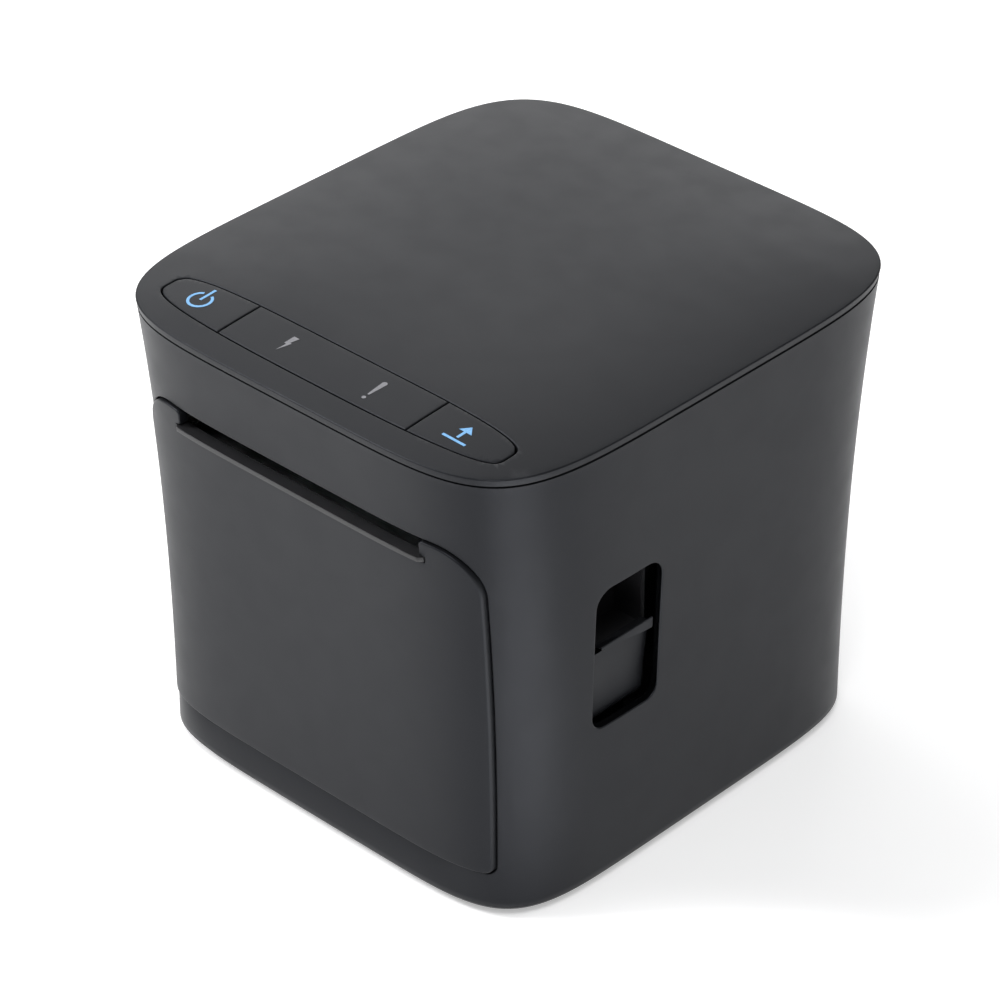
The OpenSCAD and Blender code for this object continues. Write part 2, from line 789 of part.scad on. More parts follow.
module feed_key() {
  color(case_black) {
    difference() {
      key_blank(key_split + key_gap / 2, 70);
      recess(feed_x) feed_mark();
    }
    rod_z(well_z + 0.2, key_z, feed_x, strip_y, 1.8);
  }
}

module status_panel() {
  color(case_black) difference() {
    key_blank(-key_split + key_gap / 2, key_split - key_gap / 2);
    recess(-status_x) bolt_mark();
    recess(status_x) alert_mark();
  }
}

module power_spring() {
  color(steel) translate([power_x, strip_y, well_z + 1]) coil(3.1, 0.25, key_z - well_z - 1, 3);
}

module feed_spring() {
  color(steel) translate([feed_x, strip_y, well_z + 1]) coil(3.1, 0.25, key_z - well_z - 1, 3);
}

module power_symbol() {
  color(symbol_blue) inlay(power_x) power_mark();
}

module feed_symbol() {
  color(symbol_blue) inlay(feed_x) feed_mark();
}

module status_symbols() {
  color(symbol_grey) {
    inlay(-status_x) bolt_mark();
    inlay(status_x) alert_mark();
  }
}

module control_board() {
  color(board_green) difference() {
    span([-54, -68, board_z], [54, -55, board_z + 1.6]);
    for (s = [-1, 1]) rod_z(board_z - 1, board_z + 3, s * 25, strip_y, 1.3);
  }
}

module key_switches() {
  z0 = board_z + 1.6;
  for (x = [power_x, feed_x]) {
    color(trim_black) span([x - 3, strip_y - 3, z0], [x + 3, strip_y + 3, z0 + 1.2]);
    color(steel) rod_z(z0 + 1.2, z0 + 1.5, x, strip_y, 1.6);
  }
}

module status_leds() {
  z0 = board_z + 1.6;
  color([0.9, 0.95, 0.9]) for (s = [-1, 1])
    span([s * status_x - 1, strip_y - 1, z0], [s * status_x + 1, strip_y + 1, z0 + 1]);
}

// ---------- door ----------

module door_panel() {
  w = door_w / 2;
  color(case_black) difference() {
    intersection() {
      difference() {
        case_solid(-door_proud, door_z0 - 2, door_z1 + 2, 12);
        case_solid(2, door_z0 - 3, door_z1 + 3, 12);
      }
      translate([0, -40, 0]) rotate([90, 0, 0]) linear_extrude(height = 50)
        rounded(-w, w, door_z0, door_z1, door_foot_r, door_top_r);
    }
    span([-exit_w / 2, -90, exit_z], [exit_w / 2, -50, door_z1 + 1]);
    span([-exit_w / 2 - 1.6, -90, exit_z - 1.4], [exit_w / 2 + 1.6, -50, exit_z + 0.05]);
  }
}

module exit_lip() {
  w = exit_w / 2 + 1.5;
  color(trim_black) difference() {
    intersection() {
      case_solid(-door_proud - 1, exit_z - 3, exit_z + 2, 1);
      side_plate(-w, w, [[-85, exit_z - 1.3], [-70, exit_z - 1.3], [-70, exit_z - 0.6],
        [-72, exit_z - 0.4], [-85, exit_z + 0.9]]);
    }
    span([-w - 1, -90, exit_z], [w + 1, -60, exit_z + 3]);
    for (s = [-1, 1]) translate([s * (w + 0.4), -76, exit_z - 3]) rotate([0, 0, s * 45])
      cube([3, 3, 8], center = true);
  }
}

// Inner skin of the door: paper guide, platen arms, blade shelf and knuckles.
module door_guide() {
  color(case_black) difference() {
    union() {
      span([-50, hinge_y - 0.5, 26], [50, hinge_y + 1.3, 76]);
      for (x = [-30, 0, 30]) span([x - 1, -67.4, 26], [x + 1, hinge_y, 74]);
      span([-43.6, hinge_y - 0.5, 76], [43.6, -56.5, 84]);
      span([-43.6, -69, 99.1], [43.6, -60, cut_z - 1.4]);
      for (s = [-1, 1]) {
        side_plate(s * 42.8 - 0.8, s * 42.8 + 0.8, [[-67, 76], [-54.8, 84], [-54.8, 96],
          [-58.5, cut_z - 1.4], [-69, cut_z - 1.4], [-69, 90], [-67, 84]]);
        for (x = [s * (knuckle_x - 3.3), s * (knuckle_x + 3.3)]) {
          rod_x(x - 1.5, x + 1.5, hinge_y, hinge_z, 2.2);
          span([x - 1.5, hinge_y - 0.5, hinge_z], [x + 1.5, hinge_y + 1.3, 27]);
        }
      }
    }
    for (s = [-1, 1]) rod_x(s * 42.8 - 2, s * 42.8 + 2, platen_y, platen_z, 4.5);
    rod_x(-50, 50, hinge_y, hinge_z, 1 + fit / 2);
  }
}

module fixed_blade() {
  color(steel) span([-41.9, -68.5, cut_z - 1.4], [41.9, -56.5, cut_z - 0.5]);
}

module hinge_pins() {
  color(steel) for (s = [-1, 1]) rod_x(s * knuckle_x - 4.8, s * knuckle_x + 4.8, hinge_y, hinge_z, 1);
}

// ---------- what is drawn ----------

housing_shell();
top_cover();
base_plate();
rubber_feet();
base_screws();
rear_panel();
power_inlet();
usb_port();
network_port();
drawer_port();
main_board();
board_screws();
paper_bucket();
paper_sensor();
frame_left();
frame_right();
frame_tie();
cover_switch();
head_element();
head_heatsink();
head_pivot();
head_spring();
feed_motor();
motor_pinion();
idler_gear();
idler_axle();
cutter_frame();
cutter_blade();
cutter_motor();
cutter_pinion();
latch_shaft();
latch_hooks();
release_lever();
lever_spring();
finger_pocket();
key_well();
power_key();
feed_key();
power_symbol();
feed_symbol();
status_panel();
status_symbols();
power_spring();
feed_spring();
control_board();
key_switches();
status_leds();
door_panel();
door_guide();
exit_lip();
fixed_blade();
hinge_pins();
platen_shaft();
platen_rubber();
platen_bushes();
platen_gear();
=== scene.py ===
"""Looks of a front-exit receipt printer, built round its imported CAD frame.

Shapes are worked out in millimetres. new_object() turns them into metres.
"""

import json
import math

import bmesh
import bpy
import numpy as np
from mathutils import Matrix, Vector
from mathutils.geometry import delaunay_2d_cdt


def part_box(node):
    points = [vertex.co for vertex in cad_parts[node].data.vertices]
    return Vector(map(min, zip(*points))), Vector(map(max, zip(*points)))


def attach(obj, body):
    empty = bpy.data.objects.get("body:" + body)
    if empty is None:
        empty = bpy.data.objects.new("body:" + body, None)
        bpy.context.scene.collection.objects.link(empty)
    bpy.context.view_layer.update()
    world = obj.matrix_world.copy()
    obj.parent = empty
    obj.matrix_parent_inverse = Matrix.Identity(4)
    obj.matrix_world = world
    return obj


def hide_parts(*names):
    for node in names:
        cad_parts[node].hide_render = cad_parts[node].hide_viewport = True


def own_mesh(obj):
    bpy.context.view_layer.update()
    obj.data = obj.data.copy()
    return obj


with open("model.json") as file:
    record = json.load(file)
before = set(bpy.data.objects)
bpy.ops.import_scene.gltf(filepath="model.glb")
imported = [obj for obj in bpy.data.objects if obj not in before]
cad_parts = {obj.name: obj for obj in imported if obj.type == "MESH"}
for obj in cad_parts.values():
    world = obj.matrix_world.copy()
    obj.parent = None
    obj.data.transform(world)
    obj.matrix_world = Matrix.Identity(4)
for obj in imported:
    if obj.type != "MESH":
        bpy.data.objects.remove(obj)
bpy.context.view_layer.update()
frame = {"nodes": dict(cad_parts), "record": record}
MM = 0.001


def span(node):
    """Low and high corner of a CAD node in millimetres."""
    low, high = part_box(node)
    return np.array(low) / MM, np.array(high) / MM


# ---------- main sizes, in millimetres ----------

COVER_LOW, COVER_HIGH = span("top_cover")
SHELL_LOW, SHELL_HIGH = span("housing_shell")
PLATE_HIGH = span("base_plate")[1]
WALL = 2.5                          # thickness of the case
CROWN = 2.8                         # rise of the cover above its edge
RIM = 2.0                           # height of the cover's rim
FOOT = SHELL_LOW[2]                 # lowest edge of the case
FOOT_R = 1.2                        # rounding of that edge
EDGE = COVER_HIGH[2] - CROWN        # top of the cover's rim
SHELL_TOP = SHELL_HIGH[2]           # the seam under the cover
PLATE_GAP = 0.3                     # between the base plate and the case
FLOOR_Z = PLATE_HIGH[2] + PLATE_GAP

TOP_HALF = COVER_HIGH[:2]           # half width and half depth at the rim
BASE_HALF = PLATE_HIGH[:2] + WALL + PLATE_GAP     # and at the foot
FLARE_POWER = 2.33                  # the higher, the later the walls flare
BASE_SQUARE = 6.33                  # superellipse power of the plan at the foot
TOP_SQUARE = 5.46                   # and at the rim
ROUND = 70.0                        # unrolls the walls: millimetres per radian

DOOR_HALF = 56.5
DOOR_LOW = 13.5
DOOR_HIGH = 109.0
DOOR_TOP_R = 12.0
DOOR_FOOT_R = 2.0
DOOR_PROUD = 0.7                    # the door stands out from the case by this
DOOR_GAP = 0.5
DOOR_THICK = 2.7
SILL = DOOR_LOW - DOOR_GAP          # top of the sill under the door
SETBACK = 1.6                       # the sill's top lies back by this
EXIT_HALF = 40.75                   # half width of the paper exit
EXIT_Z = 104.6                      # top of the lip under the paper exit

STRIP_HALF = 57.2                   # the key strip's half width
STRIP_DEEP = 7.8                    # and half depth
STRIP_Y = -61.8
KEY_SPLIT = 31.7                    # x of the gaps between the keys and the panel
KEY_GAP = 0.4
KEY_X = (-45.3, 43.0)               # x of the power key's and the feed key's stem
KEY_DEEP = 3.4

WINDOW = (-41.2, -18.4, 48.3, 89.5)     # the finger window: y from, to, z from, to
LEVER_FACE = 63.2                   # x of the lever's front, back and nose
LEVER_BACK = 61.4
LEVER_NOSE = 66.3
LEDGE_Z = 72.0                      # top of the lever's finger ledge

HINGE = (-64.2, 22.0)               # y, z of the door's hinge
KNUCKLE_X = 37.5
BOSS = (56.0, 54.0)                 # x, y of the base screws
PEDESTAL_X = 49.0                   # x of the blocks behind the sill


def half_sizes(z):
    """Half width, half depth and superellipse power of the case at height z."""
    t = np.clip((z - FOOT) / (EDGE - FOOT), 0, 1)
    k = t**FLARE_POWER
    wide = BASE_HALF[0] + (TOP_HALF[0] - BASE_HALF[0]) * k
    deep = BASE_HALF[1] + (TOP_HALF[1] - BASE_HALF[1]) * k
    return wide, deep, BASE_SQUARE + (TOP_SQUARE - BASE_SQUARE) * t


def ramp(v, start, end):
    """0 at start, 1 at end, with a soft start and finish."""
    t = np.clip((v - start) / (end - start), 0, 1)
    return t * t * (3 - 2 * t)


def case_point(phi, z, inset=0.0):
    """Point of the case at polar angle phi and height z, inset from its outside."""
    wide, deep, n = half_sizes(z)
    c, s = np.cos(phi), np.sin(phi)
    r = (np.abs(c / (wide - inset)) ** n + np.abs(s / (deep - inset)) ** n) ** (-1 / n)
    return np.stack([r * c, r * s, z + 0 * phi], axis=-1)


def front_point(x, z, inset=0.0):
    """Point of the front face of the case over x, z."""
    wide, deep, n = half_sizes(z)
    y = -(deep - inset) * (1 - np.abs(x / (wide - inset)) ** n) ** (1 / n)
    return np.stack([x + 0 * y, y, z + 0 * y], axis=-1)


def side_point(y, z, inset=0.0):
    """Point of the right face of the case over y, z."""
    wide, deep, n = half_sizes(z)
    x = (wide - inset) * (1 - np.abs(y / (deep - inset)) ** n) ** (1 / n)
    return np.stack([x, y + 0 * x, z + 0 * x], axis=-1)


def crown_height(x, y):
    """Height of the crowned cover over x, y."""
    s = np.abs(x / TOP_HALF[0]) ** TOP_SQUARE + np.abs(y / TOP_HALF[1]) ** TOP_SQUARE
    return EDGE + CROWN * (1 - s ** (3 / TOP_SQUARE))


# ---------- closed outlines in the plane ----------


def arc(cx, cy, r, start, end, count=10):
    """Points of an arc from start to end, in degrees."""
    a = np.radians(np.linspace(start, end, count + 1))
    return [(cx + r * math.cos(t), cy + r * math.sin(t)) for t in a]


def rounded(x0, x1, y0, y1, r_low, r_high):
    """A rectangle with rounded corners, counter-clockwise."""
    return (arc(x0 + r_low, y0 + r_low, r_low, 180, 270)
            + arc(x1 - r_low, y0 + r_low, r_low, 270, 360)
            + arc(x1 - r_high, y1 - r_high, r_high, 0, 90)
            + arc(x0 + r_high, y1 - r_high, r_high, 90, 180))


def round_corners(points, radii, count=4):
    """Replaces each corner of a polygon by a small curve of its radius."""
    out = []
    n = len(points)
    for i, (p, r) in enumerate(zip(points, radii)):
        p = np.array(p, float)
        a = np.array(points[i - 1], float) - p
        b = np.array(points[(i + 1) % n], float) - p
        a *= min(r / np.linalg.norm(a), 0.49)
        b *= min(r / np.linalg.norm(b), 0.49)
        for t in np.linspace(0, 1, count + 1):
            out.append(tuple(p + a * (1 - t) ** 2 + b * t**2))
    return out


def resample(loop, step):
    """Splits the long sides of a closed loop so that no piece is longer than step."""
    out = []
    for i, p in enumerate(loop):
        p, q = np.array(p, float), np.array(loop[(i + 1) % len(loop)], float)
        length = np.linalg.norm(q - p)
        if length < 1e-6:
            continue
        count = max(1, math.ceil(length / step))
        for k in range(count):
            out.append(p + (q - p) * k / count)
    return np.array(out)


def grown(loop, by):
    """The loop moved outwards by a distance; loops run counter-clockwise."""
    a = loop - np.roll(loop, 1, axis=0)
    b = np.roll(loop, -1, axis=0) - loop
    na = np.stack([a[:, 1], -a[:, 0]], axis=1)
    nb = np.stack([b[:, 1], -b[:, 0]], axis=1)
    na /= np.linalg.norm(na, axis=1)[:, None]
    nb /= np.linalg.norm(nb, axis=1)[:, None]
    m = na + nb
    m /= np.maximum(0.5 * (m**2).sum(axis=1), 0.7)[:, None]
    return loop + m * by


def inside(points, loop):
    """Which points lie inside a closed loop."""
    x, y = points[:, 0], points[:, 1]
    hit = np.zeros(len(points), bool)
    for (x0, y0), (x1, y1) in zip(loop, np.roll(loop, -1, axis=0)):
        if y0 == y1:
            continue
        hit ^= ((y0 > y) != (y1 > y)) & (x < (x1 - x0) * (y - y0) / (y1 - y0) + x0)
    return hit


def near(points, loop, distance):
    """Which points lie closer to a loop's corners than distance."""
    hit = np.zeros(len(points), bool)
    for p in loop:
        hit |= ((points - p) ** 2).sum(axis=1) < distance**2
    return hit


def triangulate(outer, holes, step):
    """Points and triangles that fill a loop with holes, and each loop's points in order."""
    loops = [outer, *holes]
    low, high = outer.min(axis=0), outer.max(axis=0)
    count = np.maximum(2, np.ceil((high - low) / step)).astype(int)
    xs = np.linspace(low[0], high[0], count[0] + 1)[1:-1]
    ys = np.linspace(low[1], high[1], count[1] + 1)[1:-1]
    grid = np.array(np.meshgrid(xs, ys)).reshape(2, -1).T
    keep = inside(grid, outer)
    for hole in holes:
        keep &= ~inside(grid, hole)
    grid = grid[keep]
    for loop in loops:
        grid = grid[~near(grid, loop, 0.55 * step)]
    points = np.concatenate([*loops, grid])
    edges, rows = [], []
    for loop in loops:
        first, n = len(edges), len(loop)
        edges += [(first + i, first + (i + 1) % n) for i in range(n)]
        rows.append(list(range(first, first + n)))
    made = delaunay_2d_cdt([Vector(p) for p in points], edges, [], 0, 1e-6)
    where = {old: new for new, olds in enumerate(made[3]) for old in olds}
    place = np.array([tuple(p) for p in made[0]])
    faces = np.array(made[2])
    middle = place[faces].mean(axis=1)
    keep = inside(middle, outer)
    for hole in holes:
        keep &= ~inside(middle, hole)
    a, b, c = (place[faces[:, i]] for i in range(3))
    keep &= np.abs(np.cross(b - a, c - a)) > 1e-5
    return place, [tuple(f) for f in faces[keep]], [[where[i] for i in row] for row in rows]


# ---------- mesh building ----------


def new_object(name, verts, faces, smooth=40):
    """A mesh object from points in millimetres; edges over smooth degrees stay sharp."""
    mesh = bpy.data.meshes.new(name)
    mesh.from_pydata([tuple(Vector(v) * MM) for v in verts], [], [tuple(f) for f in faces])
    bm = bmesh.new()
    bm.from_mesh(mesh)
    bmesh.ops.remove_doubles(bm, verts=bm.verts, dist=1e-6)
    bmesh.ops.recalc_face_normals(bm, faces=bm.faces)
    bm.to_mesh(mesh)
    bm.free()
    mesh.polygons.foreach_set("use_smooth", [True] * len(mesh.polygons))
    mesh.set_sharp_from_angle(angle=math.radians(smooth))
    obj = bpy.data.objects.new(name, mesh)
    normals = obj.modifiers.new("Normals", "WEIGHTED_NORMAL")
    normals.keep_sharp = True
    normals.weight = 100
    bpy.context.scene.collection.objects.link(obj)
    return obj


def bridge(rows):
    """Quads between closed rows of points of equal length; a row is a list of indices."""
    faces = []
    for a, b in zip(rows, rows[1:]):
        n = len(a)
        for i in range(n):
            j = (i + 1) % n
            faces.append((a[i], a[j], b[j], b[i]))
    return faces


def loft(sections):
    """A solid through sections of equal length, capped at both ends."""
    rows, verts = [], []
    for section in sections:
        rows.append([len(verts) + i for i in range(len(section))])
        verts += list(section)
    return verts, bridge(rows) + [tuple(rows[0]), tuple(reversed(rows[-1]))]


def plate(outer, holes, surface, depth, step, fillets=None, flares=None, seam=None):
    """A shell over a flat outline: a top skin, a bottom skin and filleted edges.

    surface(points, d) gives the places of plane points at depth d. fillets and flares
    have one number for the outer edge and one for each hole: the radius of the edge's
    fillet, and how far its wall leans over the whole depth. Where the outline lies on
    the two planes x in seam, its sides meet and get no edge.
    """
    loops = [outer, *holes]
    flares = flares or [0.0] * len(loops)
    fillets = fillets or [0.0] * len(loops)
    signs = [-1.0] + [1.0] * len(holes)
    tops = [grown(loop, sign * r) for loop, sign, r in zip(loops, signs, fillets)]
    flat, tris, edges = triangulate(tops[0], tops[1:], step)
    verts = list(surface(flat, 0.0))
    faces = [tuple(t) for t in tris]
    base = len(verts)
    verts += list(surface(flat, depth))
    faces += [tuple(base + v for v in reversed(t)) for t in tris]
    for loop, sign, flare, r, edge in zip(loops, signs, flares, fillets, edges):
        n = len(loop)
        rows = [edge]
        walls = []
        if r > 0:
            walls += [(sign * r * (1 - math.sin(a)), r * (1 - math.cos(a)))
                      for a in np.radians((30, 60, 90))]
        if flare or r > 0:
            walls.append((sign * flare, depth))
        for out, deep in walls:
            rows.append([len(verts) + i for i in range(n)])
            verts += list(surface(grown(loop, out), deep))
        rows.append([base + i for i in edge])
        quads = bridge(rows)
        if seam and loop is outer:
            on = [min(abs(p[0] - x) for x in seam) < 1e-6 for p in loop]
            quads = [q for i, q in enumerate(quads) if not (on[i % n] and on[(i + 1) % n])]
        faces += quads
    return verts, faces


def joined(parts):
    """Several (verts, faces) pairs as one."""
    verts, faces = [], []
    for v, f in parts:
        k = len(verts)
        verts += list(v)
        faces += [tuple(i + k for i in face) for face in f]
    return verts, faces


def block(low, high, bevel=0.4):
    """A box with rounded edges, as points and faces."""
    bm = bmesh.new()
    low, high = Vector(low), Vector(high)
    bmesh.ops.create_cube(bm, size=1)
    for v in bm.verts:
        v.co = Vector([low[i] + (v.co[i] + 0.5) * (high[i] - low[i]) for i in range(3)])
    bmesh.ops.bevel(bm, geom=bm.edges[:], offset=bevel, segments=2, profile=0.5, affect="EDGES")
    bm.verts.index_update()
    out = ([tuple(v.co) for v in bm.verts], [tuple(v.index for v in f.verts) for f in bm.faces])
    bm.free()
    return out


def lathe(profile, axis, centre, hollow=False):
    """A turned piece: profile is (radius, along) pairs, axis is 0, 1 or 2."""
    count = 32
    verts, rows = [], []
    for r, along in profile:
        rows.append([len(verts) + k for k in range(count)])
        for k in range(count):
            a = 2 * math.pi * k / count
            p = [r * math.cos(a), r * math.sin(a)]
            p.insert(axis, along)
            verts.append(tuple(np.array(p) + centre))
    if hollow:
        return verts, bridge(rows + [rows[0]])
    return verts, bridge(rows) + [tuple(reversed(rows[0])), tuple(rows[-1])]


# ---------- case ----------


def to_plane(points):
    """Case points as plane coordinates: distance round the case, and height."""
    phi = np.arctan2(points[:, 1], points[:, 0]) % (2 * math.pi)
    phi = np.where(phi < math.pi, phi + 2 * math.pi, phi)
    return np.stack([phi * ROUND, points[:, 2]], axis=1)


def shell_surface(flat, d):
    """The case at depth d: its outside has a rounded foot and a set-back sill."""
    phi, z = flat[:, 0] / ROUND, flat[:, 1]
    low = np.clip(FOOT + FOOT_R - z, 0, FOOT_R)
    fade = max(0.0, 1 - d / WALL)
    p = case_point(phi, z, d + (FOOT_R - np.sqrt(FOOT_R**2 - low**2)) * fade)
    back = SETBACK * fade * np.clip((z - FOOT) / (SILL - FOOT), 0, 1) ** 2
    back *= ramp(z, DOOR_LOW + 8, DOOR_LOW) * ramp(np.abs(p[:, 0]), DOOR_HALF, DOOR_HALF - 18)
    p[:, 1] += np.where(p[:, 1] < 0, back, 0)
    return p


def shell_outline():
    """The unrolled walls, from the middle of the left side once round, and its two ends."""
    columns, rows = 300, 60
    left, right = math.pi * ROUND, 3 * math.pi * ROUND
    foot = FOOT + np.array([0, 0.15, 0.4, 0.8, FOOT_R])
    side = np.concatenate([foot, np.linspace(FOOT, SHELL_TOP, rows)[2:]])
    across = np.linspace(left, right, columns)
    outline = np.concatenate([
        np.stack([across[:-1], np.full(columns - 1, FOOT)], axis=1),
        np.stack([np.full(len(side) - 1, right), side[:-1]], axis=1),
        np.stack([across[:0:-1], np.full(columns - 1, SHELL_TOP)], axis=1),
        np.stack([np.full(len(side) - 1, left), side[:0:-1]], axis=1)])
    return outline, (left, right)


def case_skin():
    """The four walls as one moulding, with its door, window and connector openings."""
    half = DOOR_HALF + DOOR_GAP
    door = resample(rounded(-half, half, SILL, DOOR_HIGH + DOOR_GAP, DOOR_FOOT_R + DOOR_GAP,
                            DOOR_TOP_R + DOOR_GAP), 1.5)
    window = resample(rounded(*WINDOW, 4, 5), 1.0)
    low, high = span("rear_panel")
    rear = resample(rounded(low[0] + 2, high[0] - 2, low[2] + 1.8, high[2] - 1.8, 1.5, 1.5), 1.5)
    back = front_point(rear[:, 0], rear[:, 1])
    back[:, 1] *= -1
    holes = [to_plane(front_point(door[:, 0], door[:, 1])),
             to_plane(side_point(window[:, 0], window[:, 1])),
             to_plane(back)[::-1]]
    outline, seam = shell_outline()
    # edge of the outline, then of the door, window and connector openings
    return plate(outline, holes, shell_surface, depth=WALL, step=1.6,
                 fillets=[0.0, 0.25, 0.35, 0.7], flares=[0.0, 0.0, 2.5, 0.0], seam=seam)


def hinge_lug(x):
    """A fixed knuckle of the door hinge on its post."""
    y, z = HINGE
    half, bore, radius, edge = 1.5, 1.0, 2.2, 0.2
    post = y + 9.7
    eye = lathe([(bore, x - half), (radius - edge, x - half), (radius, x - half + edge),
                 (radius, x + half - edge), (radius - edge, x + half), (bore, x + half)],
                0, np.array([0.0, y, z]), hollow=True)
    arm = block((x - half, y + 1.9, z - radius), (x + half, post + 0.5, z + radius), 0.2)
    foot = block((x - half, post, FLOOR_Z), (x + half, post + 5, z + radius), 0.3)
    return [eye, arm, foot]


def screw_boss(x, y):
    """A boss for a base screw, with the rib that ties it to the side wall."""
    radius, top = 3.6, 13.0
    boss = lathe([(radius - 0.3, FLOOR_Z), (radius, FLOOR_Z + 0.3), (radius, top - 0.5),
                  (radius - 0.5, top)], 2, np.array([x, y, 0.0]))
    out = math.copysign(1.0, x)
    low, high = sorted((x + out * 1.05, x + out * 6.65))
    return [boss, block((low, y - 1, FLOOR_Z), (high, y + 1, 12), 0.3)]


def make_case():
    """The case with its hinge lugs, screw bosses and the blocks behind the sill."""
    parts = [case_skin()]
    for side in (-1, 1):
        parts += hinge_lug(side * KNUCKLE_X)
        for y in (-BOSS[1], BOSS[1]):
            parts += screw_boss(side * BOSS[0], y)
        x = side * PEDESTAL_X
        parts.append(block((x - 12.5, -56, FLOOR_Z), (x + 12.5, -52.3, 9)))
    return new_object("Housing", *joined(parts), smooth=50)


# ---------- top cover and keys ----------


def crown_surface(flat, d):
    """The crowned top at depth d."""
    x, y = flat[:, 0], flat[:, 1]
    return np.stack([x, y, crown_height(x, y) - d], axis=-1)


def cover_outline(count=320):
    """The cover's edge in plan."""
    phi = np.linspace(0, 2 * math.pi, count, endpoint=False)
    return case_point(phi, np.full(count, EDGE))[:, :2]


def strip_outline(grow=0.0):
    """The key strip in plan, squarer at the back than at the front."""
    count = 240
    points = []
    for i in range(count):
        a = 2 * math.pi * i / count
        e = 2 / (5 if math.sin(a) > 0 else 3)
        c, s = math.cos(a), math.sin(a)
        points.append(((STRIP_HALF + grow) * math.copysign(abs(c) ** e, c),
                       STRIP_Y + (STRIP_DEEP + grow) * math.copysign(abs(s) ** e, s)))
    return resample(points, 1.0)


def tidy_loop(points):
    """Convex outline points put in counter-clockwise order, without near doubles."""
    middle = points.mean(axis=0)
    rel = (points - middle) / np.ptp(points, axis=0)
    points = points[np.argsort(np.arctan2(rel[:, 1], rel[:, 0]))]
    gap = np.linalg.norm(points - np.roll(points, 1, axis=0), axis=1)
    return points[gap > 0.25]


def key_outline(x0, x1):
    """The part of the key strip between x0 and x1."""
    loop = strip_outline(-KEY_GAP)
    keep = loop[(loop[:, 0] > x0) & (loop[:, 0] < x1)]
    ends = []
    for x in (x0, x1):
        if abs(x) < STRIP_HALF:
            column = loop[np.abs(loop[:, 0] - x) < 2]
            upper = column[column[:, 1] > STRIP_Y]
            lower = column[column[:, 1] <= STRIP_Y]
            ends += [(x, np.interp(x, *upper[np.argsort(upper[:, 0])].T)),
                     (x, np.interp(x, *lower[np.argsort(lower[:, 0])].T))]
    return resample(tidy_loop(np.concatenate([keep, np.array(ends)])), 1.0)


def make_cover():
    """The crowned cover, and the skirt that drops inside the case."""
    top = plate(cover_outline(), [strip_outline()], crown_surface, depth=RIM, step=2.2,
                fillets=[0.35, 0.35], flares=[0.3, 0.0])
    count = 160
    phi = np.linspace(0, 2 * math.pi, count, endpoint=False)
    outer, inner = WALL + 0.4, WALL + 1.9
    low, high = COVER_LOW[2], EDGE - RIM + 0.3
    corners = ((outer, low), (outer, high), (inner, high), (inner, low))
    skirt = [case_point(phi, np.full(count, z), inset) for inset, z in corners]
    rows = [[k * count + i for i in range(count)] for k in range(len(corners))]
    ring = (list(np.concatenate(skirt)), bridge(rows + [rows[0]]))
    return new_object("TopCover", *joined([top, ring]), smooth=50)


def make_key(name, x0, x1, stem_x=None):
    """A key or panel of the strip, flush with the crown, with a stem if it is a key."""
    parts = [plate(key_outline(x0, x1), [], crown_surface, depth=KEY_DEEP, step=1.5,
                   fillets=[0.3])]
    if stem_x is not None:
        foot, radius = EDGE - 7, 1.8
        parts.append(lathe([(radius - 0.3, foot), (radius, foot + 0.3), (radius, EDGE - 2.0)], 2,
                           np.array([stem_x, STRIP_Y, 0.0])))
    return new_object(name, *joined(parts), smooth=50)


# ---------- front door ----------


def door_surface(flat, d):
    """The door at depth d, which stands proud of the case."""
    return front_point(flat[:, 0], flat[:, 1], d - DOOR_PROUD)


def door_outline():
    """The door seen from the front, with the paper exit in its top edge."""
    w, x, lip = DOOR_HALF, EXIT_HALF, EXIT_HALF + 1.6
    foot = arc(-w + DOOR_FOOT_R, DOOR_LOW + DOOR_FOOT_R, DOOR_FOOT_R, 180, 270)
    foot += arc(w - DOOR_FOOT_R, DOOR_LOW + DOOR_FOOT_R, DOOR_FOOT_R, 270, 360)
    right = arc(w - DOOR_TOP_R, DOOR_HIGH - DOOR_TOP_R, DOOR_TOP_R, 0, 90, 16)
    left = arc(-w + DOOR_TOP_R, DOOR_HIGH - DOOR_TOP_R, DOOR_TOP_R, 90, 180, 16)
    half = [(x + 3, DOOR_HIGH), (x, DOOR_HIGH), (x, EXIT_Z + 0.1), (lip, EXIT_Z + 0.1),
            (lip, EXIT_Z - 1.4)]
    radii = [0.0, 1.3, 0.75, 0.2, 0.2]
    notch = round_corners(half + [(-px, z) for px, z in reversed(half)], radii + radii[::-1])
    return resample(foot + right + notch + left, 1.2)


def make_door():
    """The door panel."""
    skin = plate(door_outline(), [], door_surface, depth=DOOR_THICK, step=1.8, fillets=[0.45])
    return new_object("DoorPanel", *skin, smooth=50)


def make_lip():
    """The lip under the paper exit: a nose along the door, its top falling inwards."""
    half = EXIT_HALF + 1.5
    xs = np.concatenate([np.linspace(-half, -half + 1.4, 8), np.linspace(-half + 2, half - 2, 90),
                         np.linspace(half - 1.4, half, 8)])
    sections = []
    for x in xs:
        proud = min(1.0, 0.15 + (half - abs(x)) * 0.75)
        # depth behind the door's outside, and height from the top of the lip
        section = np.array([(-proud + 0.25, -1.30), (-proud + 0.05, -1.18), (-proud, -1.0),
                            (-proud, -0.25), (-proud + 0.06, -0.08), (-proud + 0.22, 0.0),
                            (-proud + 0.5, -0.04), (3.2, -0.55), (3.2, -1.30)])
        sections.append(front_point(np.full(len(section), x), EXIT_Z + section[:, 1],
                                    section[:, 0] - DOOR_PROUD))
    return new_object("ExitLip", *loft(sections), smooth=35)


# ---------- release lever and springs ----------


def rolled(past):
    """How far a rolled edge has fallen away, at a distance past its start."""
    reach, fall = 2.6, 1.3
    return fall * (1 - np.sqrt(1 - np.clip(past / reach, 0, 1) ** 2))


